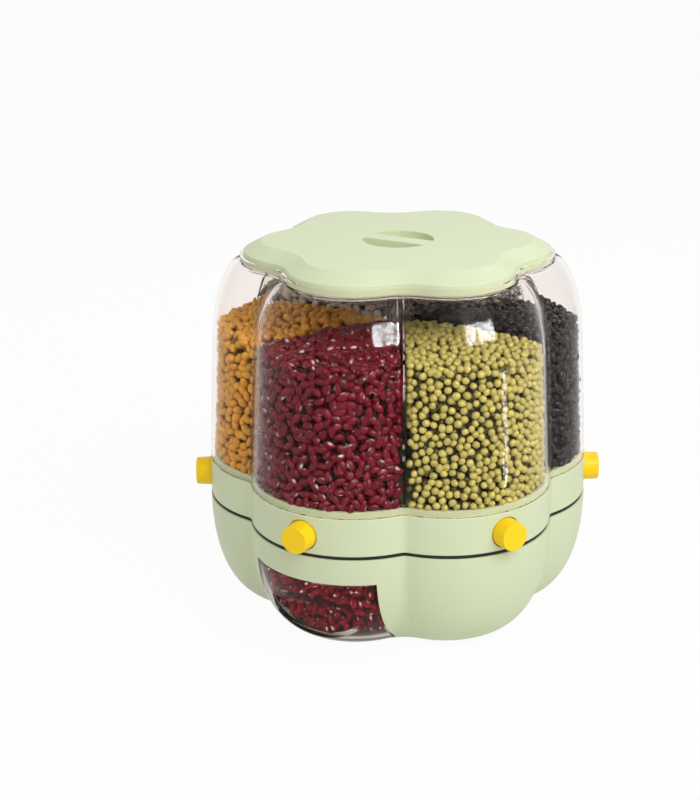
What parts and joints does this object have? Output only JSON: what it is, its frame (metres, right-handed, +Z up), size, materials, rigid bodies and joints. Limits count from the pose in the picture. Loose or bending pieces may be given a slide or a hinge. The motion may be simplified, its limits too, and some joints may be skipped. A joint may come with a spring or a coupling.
{
  "type": "rotating grain dispenser",
  "caption": "Lobed turntable grain bin with a clear compartment tank, lift-off lid, push buttons that open bottom gates, and a bowl base with a clear measuring drawer.",
  "frame": {"origin": "middle of the footprint on the table", "axes": "+Z up, -Y towards the measuring drawer, +X to the right when facing the drawer"},
  "size_m": [0.271, 0.302, 0.273],
  "materials": {
    "green_plastic": "satin pale green moulded plastic",
    "clear_plastic": "clear polished moulded plastic",
    "smoky_plastic": "clear smoky moulded plastic",
    "yellow_plastic": "glossy yellow moulded plastic",
    "white_plastic": "low-friction white plastic",
    "black_rubber": "matt black rubber",
    "silicone": "translucent white silicone",
    "steel": "plated screws and washer",
    "spring_steel": "drawn spring wire"
  },
  "bodies": {
    "base": {"base_shell": "green_plastic", "base_deck": "green_plastic", "drop_chute": "green_plastic", "deck_screws": "steel", "glide_ring": "white_plastic", "rim_seal": "black_rubber", "pivot_washer": "steel", "pivot_screw": "steel", "foot_1": "black_rubber", "foot_2": "black_rubber", "foot_3": "black_rubber", "foot_4": "black_rubber", "foot_5": "black_rubber", "foot_6": "black_rubber"},
    "rotor": {"rotor_ring": "green_plastic", "hopper_tray": "green_plastic", "rotor_plate": "green_plastic", "plate_screws": "steel", "pivot_bush": "white_plastic", "tank": "clear_plastic", "divider": "clear_plastic", "outlet_funnel_1": "green_plastic", "outlet_funnel_2": "green_plastic", "outlet_funnel_3": "green_plastic", "outlet_funnel_4": "green_plastic", "outlet_funnel_5": "green_plastic", "outlet_funnel_6": "green_plastic", "spring_1": "spring_steel", "spring_2": "spring_steel", "spring_3": "spring_steel", "spring_4": "spring_steel", "spring_5": "spring_steel", "spring_6": "spring_steel"},
    "button_1": {"button_cap_1": "yellow_plastic", "gate_1": "white_plastic"},
    "button_2": {"button_cap_2": "yellow_plastic", "gate_2": "white_plastic"},
    "button_3": {"button_cap_3": "yellow_plastic", "gate_3": "white_plastic"},
    "button_4": {"button_cap_4": "yellow_plastic", "gate_4": "white_plastic"},
    "button_5": {"button_cap_5": "yellow_plastic", "gate_5": "white_plastic"},
    "button_6": {"button_cap_6": "yellow_plastic", "gate_6": "white_plastic"},
    "lid": {"lid_cover": "green_plastic", "lid_liner": "white_plastic", "lid_seal": "silicone"},
    "drawer": {"measuring_drawer": "smoky_plastic"}
  },
  "joints": [
    {"name": "rotor_turn", "type": "hinge", "parent": "base", "child": "rotor", "pos_m": [0, 0, 0.0855], "axis": [0, 0, 1], "continuous": true},
    {"name": "button_1_press", "type": "slide", "parent": "rotor", "child": "button_1", "axis": [0, 1, 0], "range_m": [0, 0.01], "stiffness_N_per_m": 150, "springref_m": -0.004, "deforming": ["spring_1"]},
    {"name": "button_2_press", "type": "slide", "parent": "rotor", "child": "button_2", "axis": [-0.866, 0.5, 0], "range_m": [0, 0.01], "stiffness_N_per_m": 150, "springref_m": -0.004, "deforming": ["spring_2"]},
    {"name": "button_3_press", "type": "slide", "parent": "rotor", "child": "button_3", "axis": [-0.866, -0.5, 0], "range_m": [0, 0.01], "stiffness_N_per_m": 150, "springref_m": -0.004, "deforming": ["spring_3"]},
    {"name": "button_4_press", "type": "slide", "parent": "rotor", "child": "button_4", "axis": [0, -1, 0], "range_m": [0, 0.01], "stiffness_N_per_m": 150, "springref_m": -0.004, "deforming": ["spring_4"]},
    {"name": "button_5_press", "type": "slide", "parent": "rotor", "child": "button_5", "axis": [0.866, -0.5, 0], "range_m": [0, 0.01], "stiffness_N_per_m": 150, "springref_m": -0.004, "deforming": ["spring_5"]},
    {"name": "button_6_press", "type": "slide", "parent": "rotor", "child": "button_6", "axis": [0.866, 0.5, 0], "range_m": [0, 0.01], "stiffness_N_per_m": 150, "springref_m": -0.004, "deforming": ["spring_6"]},
    {"name": "lid_lift", "type": "slide", "parent": "rotor", "child": "lid", "axis": [0, 0, 1], "range_m": [0, 0.06]},
    {"name": "drawer_pull", "type": "slide", "parent": "base", "child": "drawer", "axis": [0, -1, 0], "range_m": [0, 0.105]}
  ]
}
